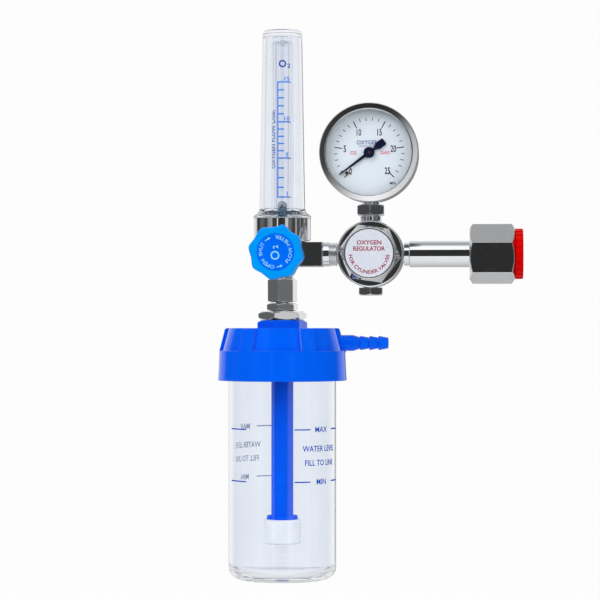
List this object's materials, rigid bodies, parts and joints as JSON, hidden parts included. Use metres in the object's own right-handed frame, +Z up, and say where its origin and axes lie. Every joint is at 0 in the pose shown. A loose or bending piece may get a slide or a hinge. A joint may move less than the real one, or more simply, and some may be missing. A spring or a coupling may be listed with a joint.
{
  "type": "oxygen flowmeter",
  "caption": "Wall or cylinder oxygen flowmeter: gauge and regulator, needle valve with lobed knob, clear flow tube with float, and a humidifier bottle.",
  "frame": {"origin": "on the axis of the inlet nut, at the inner end of its thread, where the cylinder valve's face seats", "axes": "+X out of the inlet nut's mouth, the way the cylinder valve leaves; -Y the front; +Z up the flow tube"},
  "size_m": [0.1872, 0.0847, 0.337],
  "materials": {
    "chrome": "polished nickel-chrome plate on brass",
    "brass": "turned brass",
    "steel": "spring steel",
    "blue_plastic": "glossy moulded",
    "knob_blue": "glossy moulded",
    "knob_insert": "glossy printed disc",
    "clear_tube": "clear acrylic",
    "bottle_clear": "clear polycarbonate",
    "gauge_glass": "clear flat window",
    "dial_white": "white printed aluminium",
    "pointer_dark": "dark enamel",
    "label_white": "satin printed disc",
    "red_plastic": "soft moulded",
    "rubber": "moulded",
    "white_rubber": "silicone",
    "seat_teal": "moulded nylon",
    "diffuser_white": "porous sintered plastic"
  },
  "bodies": {
    "meter": {"inlet_stem": "chrome", "inlet_filter": "brass", "seal_washer": "white_rubber", "regulator_body": "chrome", "bonnet": "chrome", "label_disc": "label_white", "diaphragm": "rubber", "spring_plate": "brass", "range_spring": "steel", "poppet_spring": "steel", "rear_plug": "chrome", "relief_body": "chrome", "relief_spring": "steel", "nipple": "chrome", "gauge_socket": "chrome", "gauge_case": "chrome", "gauge_bezel": "chrome", "gauge_glass": "gauge_glass", "gauge_dial": "dial_white", "stop_pin": "brass", "movement_pillars": "brass", "pressure_coil": "brass", "coil_tip": "brass", "link": "brass", "movement_back_plate": "brass", "movement_front_plate": "brass", "valve_body": "chrome", "gland": "chrome", "spindle_ring": "rubber", "outer_tube": "clear_tube", "tube_ring": "rubber", "measuring_tube": "clear_tube", "float_seat": "seat_teal", "float_stop": "clear_tube", "union_seal": "white_rubber", "tailpiece": "chrome", "lid_nut": "chrome", "inner_nut": "blue_plastic", "stem_gasket": "white_rubber", "lid": "blue_plastic", "lid_gasket": "white_rubber", "dip_tube": "blue_plastic", "diffuser": "diffuser_white"},
    "coupling_nut": {"inlet_nut": "chrome"},
    "dust_cap": {"dust_plug": "red_plastic"},
    "flow_knob": {"knob": "knob_blue", "knob_disc": "knob_insert", "knob_clip": "steel"},
    "needle": {"spindle": "brass"},
    "flow_float": {"float_ball": "steel"},
    "gauge_pointer": {"pointer": "pointer_dark", "pointer_arbor": "brass"},
    "gauge_sector": {"sector_gear": "brass"},
    "swivel_nut": {"union_nut": "chrome"},
    "water_bottle": {"bottle": "bottle_clear"},
    "main_poppet": {"poppet": "brass"},
    "safety_poppet": {"relief_poppet": "brass"}
  },
  "joints": [
    {"name": "inlet_nut_swivel", "type": "hinge", "parent": "meter", "child": "coupling_nut", "pos_m": [0, 0, 0], "axis": [1, 0, 0], "continuous": true},
    {"name": "dust_plug_pull", "type": "slide", "parent": "coupling_nut", "child": "dust_cap", "axis": [1, 0, 0], "range_m": [0, 0.08]},
    {"name": "knob_turn", "type": "hinge", "parent": "meter", "child": "flow_knob", "pos_m": [-0.1255, 0, 0], "axis": [0, -1, 0], "range_deg": [0, 540]},
    {"name": "needle_feed", "type": "slide", "parent": "flow_knob", "child": "needle", "axis": [0, -1, 0], "range_m": [0, 0.0015]},
    {"name": "float_rise", "type": "slide", "parent": "meter", "child": "flow_float", "axis": [0, 0, 1], "range_m": [0, 0.093]},
    {"name": "pointer_sweep", "type": "hinge", "parent": "meter", "child": "gauge_pointer", "pos_m": [-0.071, 0, 0.061], "axis": [0, 1, 0], "range_deg": [0, 261]},
    {"name": "sector_turn", "type": "hinge", "parent": "meter", "child": "gauge_sector", "pos_m": [-0.071, 0, 0.04205], "axis": [0, 1, 0], "range_deg": [-32.83, 0.2]},
    {"name": "union_nut_swivel", "type": "hinge", "parent": "meter", "child": "swivel_nut", "pos_m": [-0.1255, 0, 0], "axis": [0, 0, 1], "continuous": true},
    {"name": "bottle_off", "type": "slide", "parent": "meter", "child": "water_bottle", "axis": [0, 0, -1], "range_m": [0, 0.135]},
    {"name": "main_valve_open", "type": "slide", "parent": "meter", "child": "main_poppet", "axis": [0, 1, 0], "range_m": [0, 0.0005], "stiffness_N_per_m": 400, "springref_m": -0.0005},
    {"name": "relief_valve_open", "type": "slide", "parent": "meter", "child": "safety_poppet", "axis": [0, 0, -1], "range_m": [0, 0.0005], "stiffness_N_per_m": 400, "springref_m": -0.0005}
  ],
  "couplings": [
    {"joint": "needle_feed", "follows": "knob_turn", "m_per_rad": 0.00015915},
    {"joint": "sector_turn", "follows": "pointer_sweep", "ratio": -0.125}
  ]
}
